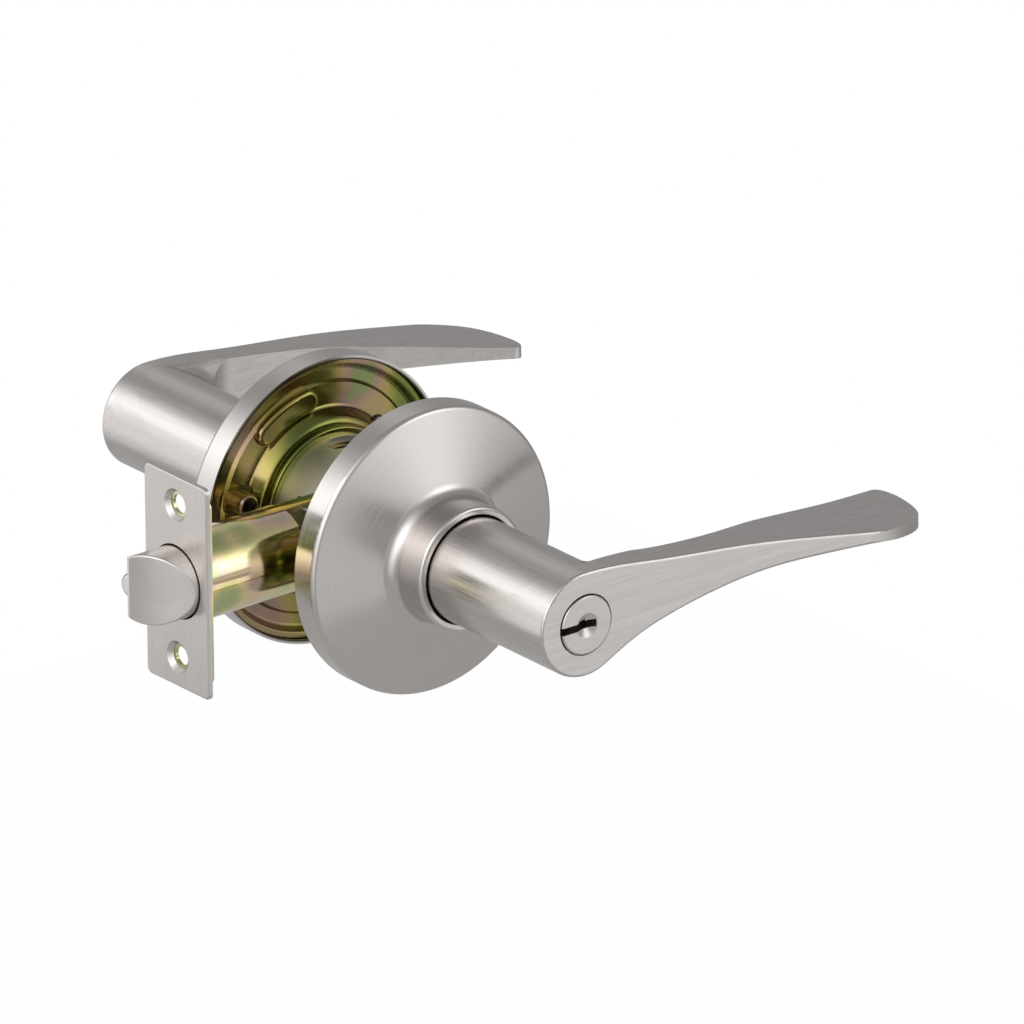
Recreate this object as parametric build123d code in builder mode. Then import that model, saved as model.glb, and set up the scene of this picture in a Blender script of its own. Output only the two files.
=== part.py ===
import os
from math import cos, radians, sin, sqrt

from build123d import *

os.makedirs("parts", exist_ok=True)

# Clearances in mm: turning fits, sliding pieces, and pieces seated in one body.
run_gap = 0.06
slide_gap = 0.35
seat_gap = 0.05

# Door and rose: the spindle lies along Y, the latch along -X, the outside faces -Y.
door_half = 18.0
rose_r = 38.1
rose_sheet = 1.0
rim_round = 1.4
face_edge_r = 37.0
face_edge_h = 25.5
face_root_r = 17.6
face_root_h = 30.2
collar_r = 16.5
collar_top = 41.4
collar_hole_r = 14.45

# Levers: neck, reach from the door's middle, and blade length from the spindle.
neck_r = 14.0
neck_start = 30.6
outside_reach = 87.5
inside_reach = 93.0
outside_tip = 117.4
inside_tip = 104.0
blade_depth = 30.0
rear_x = 66.0
rear_depth = 15.7
rear_slope = 0.26
edge_round = 0.8

# Lever blade outline in the front view: x, z along the upper and the lower edge.
upper_edge = [(0, neck_r), (24, 11.5), (51, 8.1), (77.5, 3.5), (97, -0.2), (119, -3.6)]
lower_edge = [(119, -6.5), (97, -3.4), (77.5, -1.6), (59, -0.7), (42.7, -1.9), (26, -4.9), (16.6, -7.7)]
lower_angle = 27.0

# Lever end in the top view: distance back from the tip, and part of the blade's depth.
tip_sweep = [(26.0, 0.0), (12.0, 0.085), (5.6, 0.235), (2.0, 0.455), (0.4, 0.70), (0.5, 0.90)]
tip_corner = 4.0

# Lever root: hollow behind the blade in the top view, x and distance behind the front,
# and the shoulders in the side view, distance behind the front and drop from the neck's side.
root_hollow = [(51, 11.3), (36, 8.8), (24.4, 8.1), (17.5, 8.9), (12.5, 12.2), (7.5, 18.5), (2, 28.0)]
high_shoulder = [(29.5, 13.4), (21.5, 10.6), (15.5, 7.6), (10.5, 4.3), (3.5, -0.6)]
low_shoulder = [(4.5, -0.6), (10.5, 2.5), (15.5, 5.0), (21.5, 6.6), (29.5, 7.2)]
root_depth = 8.0
root_round = 6.0

# Key cylinder's place in the outside lever, behind the wall around the plug.
front_wall = 3.0
cylinder_l = 26.3
cylinder_rear = outside_reach - front_wall - cylinder_l

# Spindle tubes, which end behind the key cylinder, and the parts keyed to them.
spindle_r = 11.0
spindle_wall = 1.6
spindle_start = 10.4
spindle_end = cylinder_rear - 0.9
drive_h = 24.6
drive_t = 1.5
drive_r = 21.4
tab_w = 2.9

# Cam: the finger sweeps evenly to both sides of the top, so the retractor moves almost evenly.
lever_swing = 54.0
throw = 12.0
finger_r = 1.6
finger_arm = throw / 2 / sin(radians(lever_swing / 2))
cam_h = 10.6
cam_t = 2.0
cam_r = 15.6

# Chassis shell and hubs.
shell_r = 18.4
shell_wall = 1.4
shell_half = 15.0
hub_flange_r = 20.4
hub_flange_t = 1.5
hub_plug_t = 1.8
nipple_r = 13.4
nipple_top = 24.0
nut_r = 17.4
nut_t = 3.4
notch_w = 3.0
notch_d = 2.0
window_y = 8.4
window_z = 8.6

# Mounting plates, in r and height above the door's middle, on the side towards the door.
plate_sheet = 1.5
plate_r = rose_r - rose_sheet - 0.2
plate_h = 20.8
rim_set = 1.6
plate_inner_h = shell_half + hub_flange_t + 2 * seat_gap
plate_flat_r = plate_r - 6.6
plate_rim_r = plate_r - 2.7
rib_r = plate_flat_r - 2.9
rib_w = 6.4
rib_raise = 1.7
rib_mid = 113.0
rib_half_angle = 15.0

# Posts and screws that clamp the two mounting plates.
post_arm = 24.0
post_angle = 40.0
post_r = 2.8
screw_r = 1.7
screw_head_r = 3.3
screw_head_t = 1.8
stud_x = -(hub_flange_r + 5.7)
stud_z = 5.8
stud_r = 3.0

# Return spring around the lock nut.
return_r = 19.3
return_wire = 0.75
return_pitch = 1.65
return_turns = 2.5
return_h = 19.3

# Retractor slide: its wall holds the bolt tail, its ear meets the cam fingers.
axis_r = 2.4
tail_head_t = 2.0
tail_head_x = -(axis_r + slide_gap + throw)
wall_t = 2.4
wall_x = tail_head_x - tail_head_t - slide_gap
slide_y = window_y - 0.4
slide_z = window_z - 0.4
arm_t = 4.0
arm_end = 0.5
ear_x = -throw / 2 + finger_r + 0.3
ear_t = 2.5
ear_z = 12.4
ear_y = 9.2
push_r = 1.3
push_wire = 0.25
push_hole_r = 1.7
push_depth = 10.0

# Latch: the plate's back lies on the door's edge, at the backset from the spindle.
backset = 60.3
face_t = 1.3
face_w = 25.4
face_l = 57.15
face_corner = 1.6
screw_span = 41.3
sink_r = 4.4
sink_mid_r = 3.3
sink_end_r = 2.55
back_t = 0.9
back_w = 24.2
back_l = 49.6
bolt_hole_r = 9.9
tube_r = 11.4
tube_wall = 1.0
tube_end = -28.5
prong_end = -15.9
prong_w = 4.6
bolt_r = 9.5
bolt_flat = 4.9
bolt_out = 11.7
bolt_rear = -50.5
bevel_end = 0.8
bolt_round = 0.5
tail_w = 2.2
tail_z = 2.0
plunger_r = 3.2
plunger_rear = -46.5

# Key cylinder in the outside lever.
plug_r = 6.35
plug_face_r = 7.85
plug_face_gap = 0.35
plug_proud = 0.6
cylinder_r = 8.0
tower_w = 6.6
tower_x = 12.3
pin_r = 1.35
pin_hole_r = 1.45
pin_pitch = 4.0
first_pin = 6.6
key_steps = [1.6, 0.4, 1.2, 0.0, 0.8]
clip_t = 0.8
clip_gap = 0.3
bar_w = 4.3
bar_t = 1.6
bar_start = 3.6

# Turn button and lever catches.
button_r = 5.6
button_h = 70.0
thumb_l = 15.0
thumb_w = 4.2
shaft_r = 2.0
catch_y = spindle_end - 10.3
catch_r = 2.0
catch_tip = 13.2
catch_head = 8.6
bow_r = 7.4
bow_z = 1.5


def save(part, name):
    """Name a finished piece and write it to its own file."""
    part.label = name
    export_step(part, f"parts/{name}.step")


def turned(points, rounds):
    """A body turned about Y from r, h points; rounds gives the corner radius by point number."""
    with BuildPart() as body:
        with BuildSketch(Plane.XY) as half:
            with BuildLine():
                Polyline([(r, -h) for r, h in points], close=True)
            make_face()
            for number, radius in rounds.items():
                r, h = points[number]
                corner = half.vertices().sort_by_distance((r, -h, 0))[0]
                fillet(corner, radius)
        revolve(axis=Axis.Y)
    return body.part


def ring(inner, outer, start, end):
    """A plain ring about Y between two heights on the outside half."""
    with BuildPart() as body:
        with BuildSketch(Plane.XZ.offset(start)):
            Circle(outer)
            Circle(inner, mode=Mode.SUBTRACT)
        extrude(amount=end - start)
    return body.part


def coil(center, direction, radius, wire, pitch, height):
    """A round-wire coil that starts beside its centre and grows along its direction."""
    with BuildPart() as body:
        with BuildLine() as path:
            Helix(pitch=pitch, height=height, radius=radius, center=center, direction=direction)
        with BuildSketch(Plane(origin=path.line @ 0, z_dir=path.line % 0)):
            Circle(wire)
        sweep(is_frenet=True)
    return body.part


def mirrored(part):
    """The same piece on the other side of the door."""
    with BuildPart() as body:
        mirror(part, about=Plane.XZ)
    return body.part


# Roses: a drawn sheet with a rolled rim, a low cone and a collar around the lever's neck.
skin = rose_sheet
cone = (face_root_h - face_edge_h) / (face_edge_r - face_root_r)
drop = skin * sqrt(1 + cone * cone)
outside_rose = turned(
    [
        (rose_r, door_half),
        (rose_r, face_edge_h - (rose_r - face_edge_r) * cone),
        (collar_r, face_root_h + (face_root_r - collar_r) * cone),
        (collar_r, collar_top),
        (collar_hole_r, collar_top),
        (collar_hole_r, collar_top - skin),
        (collar_r - skin, collar_top - skin),
        (collar_r - skin, face_root_h + (face_root_r - collar_r + skin) * cone - drop),
        (rose_r - skin, face_edge_h - (rose_r - skin - face_edge_r) * cone - drop),
        (rose_r - skin, door_half),
    ],
    {8: 0.6, 7: 4.6, 6: 0.3, 4: 0.35, 3: 0.8, 2: 3.6, 1: rim_round},
)
save(outside_rose, "outside_rose")
inside_rose = mirrored(outside_rose)
save(inside_rose, "inside_rose")


def mounting_plate(hole_r):
    """The stamped plate under a rose: rim, step, flat, and a raised middle on the hub."""
    dish = turned(
        [
            (nipple_r + 0.15, plate_inner_h),
            (21.6, plate_inner_h),
            (24.2, plate_h),
            (plate_flat_r, plate_h),
            (plate_flat_r + 0.8, plate_h + 0.8),
            (plate_rim_r, plate_h + 0.8),
            (plate_rim_r + 1.3, door_half + rim_set),
            (plate_r, door_half + rim_set),
            (plate_r, door_half + rim_set + plate_sheet),
            (plate_rim_r + 2.1, door_half + rim_set + plate_sheet),
            (plate_rim_r + 0.8, plate_h + 0.8 + plate_sheet),
            (plate_flat_r + 0.3, plate_h + 0.8 + plate_sheet),
            (plate_flat_r - 0.5, plate_h + plate_sheet),
            (23.4, plate_h + plate_sheet),
            (20.8, plate_inner_h + plate_sheet),
            (nipple_r + 0.15, plate_inner_h + plate_sheet),
        ],
        {14: 0.6, 13: 2.6, 10: 0.6, 6: 0.5, 5: 0.8, 2: 1.2, 1: 2.1},
    )
    bows = [
        CenterArc((0, 0), rib_r, mid - rib_half_angle, 2 * rib_half_angle)
        for mid in (rib_mid, rib_mid + 180)
    ]
    with BuildPart() as plate:
        add(dish)
        # Raised ribs stiffen the flat, one on each side of the hub.
        with BuildSketch(Plane.XZ.offset(plate_h - rib_raise)):
            for bow in bows:
                SlotArc(bow, rib_w)
        ribs = extrude(amount=rib_raise + plate_sheet)
        tops = ribs.faces().sort_by(Axis.Y)[-2:]
        fillet(tops.edges(), 1.4)
        with BuildSketch(Plane.XZ.offset(plate_h + 0.1)):
            for bow in bows:
                SlotArc(bow, rib_w - 3.2)
        extrude(amount=plate_sheet + 2, mode=Mode.SUBTRACT)
        # Flat seats for the clamping screws or posts, with their holes.
        with BuildSketch(Plane.XZ.offset(plate_h)):
            with PolarLocations(post_arm, 2, start_angle=post_angle):
                Circle(post_r + 0.9)
        extrude(amount=plate_sheet)
        with BuildSketch(Plane.XZ.offset(plate_inner_h - 1)):
            with PolarLocations(post_arm, 2, start_angle=post_angle):
                Circle(hole_r)
        extrude(amount=plate_h + plate_sheet - plate_inner_h + 2, mode=Mode.SUBTRACT)
        # The return spring's bent end is hooked in this hole.
        with BuildSketch(Plane.XZ.offset(plate_inner_h - 1)):
            with Locations((0, -return_r)):
                Circle(return_wire + 0.15)
        extrude(amount=4, mode=Mode.SUBTRACT)
    return plate.part


outside_plate = mounting_plate(post_r + seat_gap)
save(outside_plate, "outside_mounting_plate")

with BuildPart() as inside_plate:
    mirror(mounting_plate(screw_r + 0.5), about=Plane.XZ)
    # A hole and a pressed collar take the riveted stud.
    with BuildSketch(Plane.XZ.offset(-plate_h + 1.2)):
        with Locations((stud_x, stud_z)):
            Circle(stud_r + 1.6)
    extrude(amount=-1.4)
    with BuildSketch(Plane.XZ.offset(-plate_h + 4)):
        with Locations((stud_x, stud_z)):
            Circle(stud_r - 0.6 + seat_gap)
    extrude(amount=-9, mode=Mode.SUBTRACT)
save(inside_plate.part, "inside_mounting_plate")

with BuildPart() as stud:
    with BuildSketch(Plane.XZ.offset(-plate_h + 1.25)):
        with Locations((stud_x, stud_z)):
            Circle(stud_r)
    extrude(amount=4.0)
    fillet(stud.faces().sort_by(Axis.Y)[0].edges(), 0.9)
    with BuildSketch(Plane.XZ.offset(-plate_h + 1.25)):
        with Locations((stud_x, stud_z)):
            Circle(stud_r - 0.6)
    extrude(amount=-1.25 - plate_sheet - 0.6)
save(stud.part, "plate_stud")

# Hubs: a flange that closes the shell and a threaded nipple that carries the spindle.
outside_hub = turned(
    [
        (spindle_r + run_gap, shell_half - hub_plug_t),
        (shell_r - shell_wall - seat_gap, shell_half - hub_plug_t),
        (shell_r - shell_wall - seat_gap, shell_half + seat_gap),
        (hub_flange_r, shell_half + seat_gap),
        (hub_flange_r, shell_half + seat_gap + hub_flange_t),
        (nipple_r, shell_half + seat_gap + hub_flange_t),
        (nipple_r, nipple_top),
        (spindle_r + run_gap, nipple_top),
    ],
    {6: 0.5, 4: 0.5, 3: 0.7},
)
save(outside_hub, "outside_hub")
save(mirrored(outside_hub), "inside_hub")

# The lock nut clamps the outside plate on its hub; four notches take a pin spanner.
nut_base = plate_inner_h + plate_sheet + seat_gap
with BuildPart() as lock_nut:
    add(ring(nipple_r + seat_gap, nut_r, nut_base, nut_base + nut_t))
    with BuildSketch(Plane.XZ.offset(nut_base + 1.6)):
        with PolarLocations(nut_r, 4, start_angle=45):
            Rectangle(2 * notch_d, notch_w)
    extrude(amount=4, mode=Mode.SUBTRACT)
    chamfer(lock_nut.faces().sort_by(Axis.Y)[0].edges().filter_by(GeomType.CIRCLE), 0.4)
save(lock_nut.part, "outside_lock_nut")

# Chassis shell: one window for the retractor and the latch, and two beside each flange.
with BuildPart() as shell:
    with BuildSketch(Plane.XZ.offset(-shell_half)):
        Circle(shell_r)
        Circle(shell_r - shell_wall, mode=Mode.SUBTRACT)
    extrude(amount=2 * shell_half)
    with BuildSketch(Plane.YZ):
        RectangleRounded(2 * window_y, 2 * window_z, 0.6)
    extrude(amount=-shell_r - 2, mode=Mode.SUBTRACT)
    with BuildSketch(Plane.XY):
        with Locations((4.0, 10.4), (4.0, -10.4)):
            SlotOverall(17.0, 6.4)
    extrude(amount=shell_r + 2, mode=Mode.SUBTRACT)
save(shell.part, "chassis_shell")

# Clamping posts and screws.
with BuildPart() as posts:
    with BuildSketch(Plane.XZ.offset(-3.0)):
        with PolarLocations(post_arm, 2, start_angle=post_angle):
            Circle(post_r)
    extrude(amount=plate_h + plate_sheet + 3.6)
    with BuildSketch(Plane.XZ.offset(-3.0)):
        with PolarLocations(post_arm, 2, start_angle=post_angle):
            Circle(screw_r + seat_gap)
    extrude(amount=14, mode=Mode.SUBTRACT)
save(posts.part, "clamp_posts")

with BuildPart() as screws:
    head_base = plate_h + plate_sheet + seat_gap
    with BuildSketch(Plane.XZ.offset(-head_base)):
        with PolarLocations(post_arm, 2, start_angle=post_angle):
            Circle(screw_r)
    extrude(amount=head_base + 8)
    with BuildSketch(Plane.XZ.offset(-head_base - screw_head_t)):
        with PolarLocations(post_arm, 2, start_angle=post_angle):
            Circle(screw_head_r)
    extrude(amount=screw_head_t)
    fillet(screws.faces().sort_by(Axis.Y)[-2:].edges(), 0.8)
    with BuildSketch(Plane.XZ.offset(-head_base - screw_head_t)):
        with PolarLocations(post_arm, 2, start_angle=post_angle):
            Rectangle(3.4, 0.8)
            Rectangle(0.8, 3.4)
    extrude(amount=1.3, mode=Mode.SUBTRACT)
save(screws.part, "clamp_screws")

# Spindle tubes with slots for the drive plate, the lever's key rib and the catch.
with BuildPart() as outside_spindle:
    add(ring(spindle_r - spindle_wall, spindle_r, spindle_start, spindle_end))
    with BuildSketch(Plane.YZ):
        with Locations((-drive_h - drive_t / 2, 0)):
            Rectangle(drive_t + 2 * seat_gap, tab_w + 2 * seat_gap)
    extrude(amount=spindle_r + 1, both=True, mode=Mode.SUBTRACT)
    with BuildSketch(Plane.XY.offset(5)):
        with Locations((0, -spindle_end + 6)):
            Rectangle(tab_w + 2 * seat_gap, 16)
    extrude(amount=10, mode=Mode.SUBTRACT)
    with BuildSketch(Plane.XY.offset(-5)):
        with Locations((0, -catch_y)):
            Circle(catch_r + run_gap)
    extrude(amount=-10, mode=Mode.SUBTRACT)
save(outside_spindle.part, "outside_spindle")
save(mirrored(outside_spindle.part), "inside_spindle")

# Drive plates turn with the spindle and wind the return spring.
with BuildPart() as outside_drive:
    add(ring(spindle_r + seat_gap, drive_r, drive_h, drive_h + drive_t))
    with BuildSketch(Plane.XZ.offset(drive_h)):
        with Locations((spindle_r - 0.4, 0), (-spindle_r + 0.4, 0)):
            Rectangle(1.6, tab_w)
    extrude(amount=drive_t)
    with BuildSketch(Plane.XZ.offset(drive_h - 1)):
        with Locations((0, return_r)):
            Circle(return_wire + 0.15)
        with PolarLocations(16.4, 4, start_angle=45):
            Circle(2.4)
    extrude(amount=drive_t + 2, mode=Mode.SUBTRACT)
save(outside_drive.part, "outside_drive_plate")
save(mirrored(outside_drive.part), "inside_drive_plate")

# Return springs: two and a half turns with one end hooked in each plate.
rise = return_turns * return_pitch
with BuildPart() as outside_return:
    add(coil((0, -return_h, 0), (0, -1, 0), return_r, return_wire, return_pitch, rise))
    first = outside_return.faces().filter_by(GeomType.PLANE).sort_by(Axis.Y)[-1].center()
    last = outside_return.faces().filter_by(GeomType.PLANE).sort_by(Axis.Y)[0].center()
    with BuildSketch(Plane.XZ.offset(plate_inner_h + 0.3)):
        with Locations((first.X, first.Z)):
            Circle(return_wire)
    extrude(amount=return_h - plate_inner_h - 0.3 + return_wire)
    with BuildSketch(Plane.XZ.offset(return_h + rise - return_wire)):
        with Locations((last.X, last.Z)):
            Circle(return_wire)
    extrude(amount=drive_h + drive_t - 0.2 - return_h - rise + return_wire)
save(outside_return.part, "outside_return_spring")
save(mirrored(outside_return.part), "inside_return_spring")

# Cams staked on the spindles; the finger stands back by half the swing at rest.
with BuildPart() as outside_cam:
    add(ring(spindle_r + seat_gap, cam_r, cam_h, cam_h + cam_t))
    half_swing = radians(lever_swing / 2)
    with BuildSketch(Plane.XZ.offset(0.8)):
        with Locations((-finger_arm * sin(half_swing), finger_arm * cos(half_swing))):
            Circle(finger_r)
    extrude(amount=cam_h - 0.8 + cam_t / 2)
save(outside_cam.part, "outside_cam")
save(mirrored(outside_cam.part), "inside_cam")

# Retractor: a wall with a side slot for the bolt tail, two arms, and an ear for the fingers.
with BuildPart() as retractor:
    with BuildSketch(Plane.XZ.offset(-slide_y)):
        with Locations((wall_x - wall_t / 2, 0)):
            Rectangle(wall_t, 2 * slide_z)
        with Locations(((wall_x - wall_t + arm_end) / 2, slide_z - arm_t / 2)):
            Rectangle(arm_end - wall_x + wall_t, arm_t)
        with Locations(((wall_x - wall_t + arm_end) / 2, -slide_z + arm_t / 2)):
            Rectangle(arm_end - wall_x + wall_t, arm_t)
    extrude(amount=2 * slide_y)
    fillet(retractor.edges().filter_by(Axis.Y).group_by(Axis.X)[0], 0.8)
    with BuildSketch(Plane.XZ.offset(-ear_y)):
        with Locations((ear_x + ear_t / 2, (slide_z - 1 + ear_z) / 2)):
            Rectangle(ear_t, ear_z - slide_z + 1)
    extrude(amount=2 * ear_y)
    with BuildSketch(Plane.YZ.offset(wall_x - wall_t - 1)):
        with Locations((slide_y / 2 - (tail_w / 2 + slide_gap) / 2, 0)):
            Rectangle(slide_y + tail_w / 2 + slide_gap, 2 * (tail_z + slide_gap))
    extrude(amount=wall_t + 2, mode=Mode.SUBTRACT)
    with BuildSketch(Plane.YZ.offset(arm_end)):
        with Locations((0, slide_z - arm_t / 2), (0, -slide_z + arm_t / 2)):
            Circle(push_hole_r)
    extrude(amount=-push_depth, mode=Mode.SUBTRACT)
save(retractor.part, "retractor")

# Retractor springs press from the shell's far wall into the arms.
push_z = slide_z - arm_t / 2
push_start = arm_end - push_depth + push_wire + 0.1
push_end = sqrt((shell_r - shell_wall) ** 2 - (push_z + push_r) ** 2) - push_wire - 0.15
push_rise = push_end - push_start
with BuildPart() as push_springs:
    add(coil((push_start, 0, push_z), (1, 0, 0), push_r, push_wire, 1.7, push_rise))
    add(coil((push_start, 0, -push_z), (1, 0, 0), push_r, push_wire, 1.7, push_rise))
save(push_springs.part, "retractor_springs")

# Latch plates with dished screw holes.
face_front = -backset - face_t
with BuildPart() as face_plate:
    with BuildSketch(Plane.YZ.offset(face_front)):
        RectangleRounded(face_w, face_l, face_corner)
    extrude(amount=face_t)
    fillet(face_plate.faces().sort_by(Axis.X)[0].edges(), 0.45)
    with BuildSketch(Plane.YZ.offset(face_front - 1)):
        Circle(bolt_hole_r)
    extrude(amount=face_t + 2, mode=Mode.SUBTRACT)
    for end in (1, -1):
        with BuildSketch(Plane.YZ.offset(face_front)):
            with Locations((0, end * screw_span / 2)):
                Circle(sink_r)
        with BuildSketch(Plane.YZ.offset(face_front + face_t)):
            with Locations((0, end * screw_span / 2)):
                Circle(sink_mid_r)
        loft(mode=Mode.SUBTRACT)
save(face_plate.part, "face_plate")

back_front = -backset + seat_gap
with BuildPart() as back_plate:
    with BuildSketch(Plane.YZ.offset(back_front)):
        RectangleRounded(back_w, back_l, 2.2)
        Circle(bolt_hole_r, mode=Mode.SUBTRACT)
        with Locations((0, screw_span / 2), (0, -screw_span / 2)):
            Circle(sink_end_r, mode=Mode.SUBTRACT)
    extrude(amount=back_t)
save(back_plate.part, "back_plate")

# Latch tube: rolled sheet with a seam, and prongs that reach the chassis shell.
tube_start = back_front + back_t + seat_gap
with BuildPart() as tube:
    with BuildSketch(Plane.YZ.offset(tube_start)):
        Circle(tube_r)
        Circle(tube_r - tube_wall, mode=Mode.SUBTRACT)
    extrude(amount=prong_end - tube_start)
    with BuildSketch(Plane.XZ.offset(-tube_r - 1)):
        with Locations(((tube_end + prong_end) / 2 + 1, 0)):
            Rectangle(prong_end - tube_end + 2, 2 * tube_r + 2)
    cut = extrude(amount=tube_r + 1 - prong_w / 2, mode=Mode.SUBTRACT)
    mirror(cut, about=Plane.XZ, mode=Mode.SUBTRACT)
    with BuildSketch(Plane.XY.offset(0)):
        with Locations((tube_start / 2 + tube_end / 2, -tube_r)):
            Rectangle(tube_end - tube_start + 1, 1.2)
    extrude(amount=0.35, both=False, mode=Mode.SUBTRACT)
save(tube.part, "latch_tube")

with BuildPart() as tube_guide:
    with BuildSketch(Plane.YZ.offset(tube_end - 0.4)):
        Circle(tube_r - tube_wall - seat_gap)
        Rectangle(tail_w + 2 * slide_gap, 2 * (tail_z + slide_gap), mode=Mode.SUBTRACT)
    extrude(amount=-1.6)
save(tube_guide.part, "tube_guide")

# Latch bolt: a round bar with a flat for the plunger and a slightly bowed bevel.
tip_x = face_front - bolt_out
with BuildPart() as bolt:
    with BuildSketch(Plane.YZ.offset(tip_x)):
        Circle(bolt_r)
        with Locations((bolt_flat + bolt_r / 2, 0)):
            Rectangle(bolt_r, 3 * bolt_r, mode=Mode.SUBTRACT)
    extrude(amount=bolt_rear - tip_x)
    with BuildSketch(Plane.XY.offset(-bolt_r - 1)):
        with BuildLine():
            heel = (face_front - bevel_end, -bolt_r - 0.2)
            nose = (tip_x, bolt_flat - 0.7)
            bow = ((nose[0] + heel[0]) / 2 - 0.75, (nose[1] + heel[1]) / 2 - 0.6)
            ThreePointArc(nose, bow, heel)
            Polyline(heel, (tip_x - 5, heel[1] - 2), (tip_x - 5, nose[1]), nose)
        make_face()
    extrude(amount=2 * bolt_r + 2, mode=Mode.SUBTRACT)
    bevel = bolt.faces().sort_by_distance((*bow, 0))[0]
    fillet(bevel.edges().sort_by(Edge.length)[-1], bolt_round)
    with BuildSketch(Plane.YZ.offset(bolt_rear)):
        Rectangle(tail_w + 2 * seat_gap, 2 * (tail_z + seat_gap))
    extrude(amount=-4, mode=Mode.SUBTRACT)
save(bolt.part, "latch_bolt")

with BuildPart() as tail:
    with BuildSketch(Plane.XZ.offset(-tail_w / 2)):
        with Locations(((bolt_rear - 3.9 + tail_head_x) / 2, 0)):
            Rectangle(tail_head_x - bolt_rear + 3.9, 2 * tail_z)
        with Locations((tail_head_x - tail_head_t / 2, 0)):
            Rectangle(tail_head_t, 2 * (slide_z - arm_t - slide_gap))
    extrude(amount=tail_w)
save(tail.part, "bolt_tail")

spring_wall = tube_end - 2.0
bolt_spring = coil(
    (bolt_rear + 0.5, 0, 0), (1, 0, 0), 3.3, 0.4, 2.1, spring_wall - bolt_rear - 1.0
)
save(bolt_spring, "bolt_spring")

# Dead-latch plunger: a half-round bar beside the bolt's flat, with its own spring.
plunger_y = bolt_flat + slide_gap
with BuildPart() as plunger:
    with BuildSketch(Plane.YZ.offset(tip_x + 0.3)):
        with Locations((plunger_y, 0)):
            Circle(plunger_r)
        with Locations((plunger_y - plunger_r, 0)):
            Rectangle(2 * plunger_r, 2 * plunger_r + 1, mode=Mode.SUBTRACT)
    extrude(amount=plunger_rear - tip_x - 0.3)
    fillet(plunger.faces().sort_by(Axis.X)[0].edges().sort_by(Axis.Y)[-1], 1.2)
save(plunger.part, "deadlatch_plunger")

plunger_spring = coil(
    (plunger_rear + 0.4, plunger_y + 1.6, 0), (1, 0, 0), 1.2, 0.25, 1.5, spring_wall - plunger_rear - 0.8
)
save(plunger_spring, "plunger_spring")


def lever_blank(reach, tip):
    """Neck and blade of a lever that faces -Y; the blade narrows in height and grows in depth."""
    start = (neck_r * sin(radians(lower_angle)), -neck_r * cos(radians(lower_angle)))
    # Top view: straight front, swept end, slanted back and a hollow curve to the neck.
    rear = [(x, rear_depth + rear_slope * (x - rear_x)) for x in (tip - tip_corner, rear_x)]
    back = [(x, -reach + depth) for x, depth in rear + root_hollow]
    swept = [(tip - x, -reach + part * rear[0][1]) for x, part in tip_sweep]
    high = [(-reach + depth, neck_r - drop) for depth, drop in high_shoulder]
    low = [(-reach + depth, drop - neck_r) for depth, drop in low_shoulder]
    corner = (neck_r * sin(radians(39)), -reach + 10.9, neck_r * cos(radians(39)))
    with BuildPart() as blank:
        # Front view: a round end that runs out into a long drop.
        with BuildSketch(Plane.XZ.offset(reach)):
            with BuildLine():
                top = Spline(upper_edge, tangents=[(1, 0), (1, -0.16)])
                Line(top @ 1, lower_edge[0])
                under = Spline(
                    lower_edge + [start],
                    tangents=[(-1, 0.14), (-cos(radians(lower_angle)), -sin(radians(lower_angle)))],
                )
                ThreePointArc(under @ 1, (-neck_r, 0), upper_edge[0])
            make_face()
        extrude(amount=blade_depth, dir=(0, 1, 0))
        front_edges = blank.faces().sort_by(Axis.Y)[0].edges()
        fillet(front_edges.filter_by(lambda e: e.length > 10), edge_round)
        with BuildSketch(Plane.XY.offset(-40)):
            with BuildLine():
                Line((-20, -reach), swept[0])
                Spline(swept + [back[0]], tangents=[(1, 0), (-1, -rear_slope)])
                Line(back[0], back[1])
                Spline(back[1:], tangents=[(-1, -rear_slope), (-0.5, 1)])
                Polyline(back[-1], (-20, back[-1][1]), (-20, -reach))
            make_face()
        extrude(amount=80, mode=Mode.INTERSECT)
        # Side view: the blade's shoulders fall away into the neck.
        with BuildSketch(Plane.YZ):
            with BuildLine():
                Spline(low, tangents=[(1, 0.2), (1, 0.05)])
                Line(low[-1], high[0])
                Spline(high, tangents=[(-1, 0.3), (-1, 0.2)])
                Polyline(high[-1], (-reach - 1, 15), (-reach - 1, -15), low[0])
            make_face()
        extrude(amount=tip + 5, both=True, mode=Mode.INTERSECT)
        with BuildSketch(Plane.XZ.offset(neck_start)):
            Circle(neck_r)
        extrude(amount=reach - root_depth - neck_start)
        # The corner above the root is hollowed, and the neck then runs on to the front.
        fillet(blank.edges().sort_by_distance(corner)[0], root_round)
        with BuildSketch(Plane.XZ.offset(reach - root_depth - 1)):
            Circle(neck_r)
        extrude(amount=root_depth + 0.8 - edge_round)
    return blank.part


def bored(blank, front):
    """A lever with its spindle bore, key rib, catch hole and a smaller bore to the front."""
    with BuildPart() as lever:
        add(blank)
        with BuildSketch(Plane.XZ.offset(neck_start)):
            Circle(spindle_r + seat_gap)
        extrude(amount=front - neck_start, mode=Mode.SUBTRACT)
        with BuildSketch(Plane.XY.offset(spindle_r - 1.3)):
            with Locations((0, -spindle_end + 6.6)):
                Rectangle(tab_w, 14)
        extrude(amount=2)
        with BuildSketch(Plane.XY):
            with Locations((0, -catch_y)):
                Circle(catch_r + 0.15)
        extrude(amount=-neck_r - 1, mode=Mode.SUBTRACT)
    return lever.part


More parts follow.
